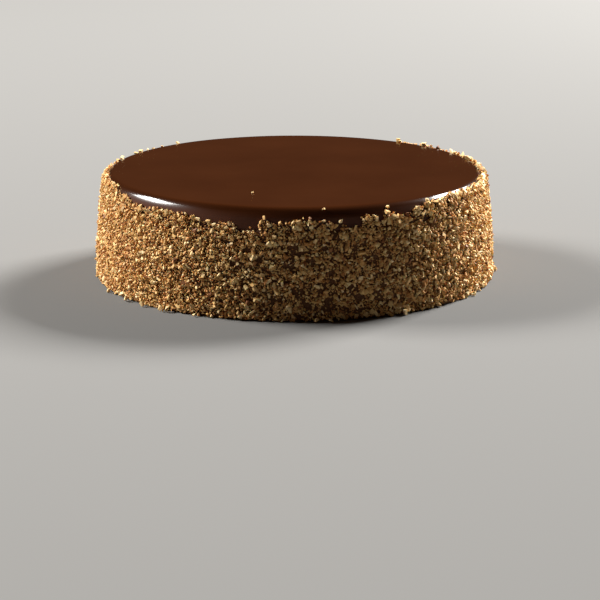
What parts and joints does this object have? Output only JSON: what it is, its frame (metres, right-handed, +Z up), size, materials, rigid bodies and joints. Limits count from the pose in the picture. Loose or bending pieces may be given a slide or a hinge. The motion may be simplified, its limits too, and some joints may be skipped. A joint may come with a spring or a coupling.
{
  "type": "chocolate glazed tres leches cake",
  "caption": "Whole round uncut cake with a smooth chocolate glaze on top and chopped toasted nut and biscuit crumbs all round the side.",
  "frame": {"origin": "centre of the cake's flat underside", "axes": "+Z up, from the underside to the glazed top; -Y towards the front, the side that was pictured; +X to the right seen from there"},
  "size_m": [0.2197, 0.2206, 0.0575],
  "materials": {
    "crumbs": "dry, rough, golden tan chopped toasted nuts and biscuit crumbs with dark glaze between them",
    "glaze": "smooth, set chocolate glaze, deep brown with a soft gloss"
  },
  "bodies": {
    "root": {"cake": "crumbs", "glaze": "glaze"}
  },
  "joints": []
}
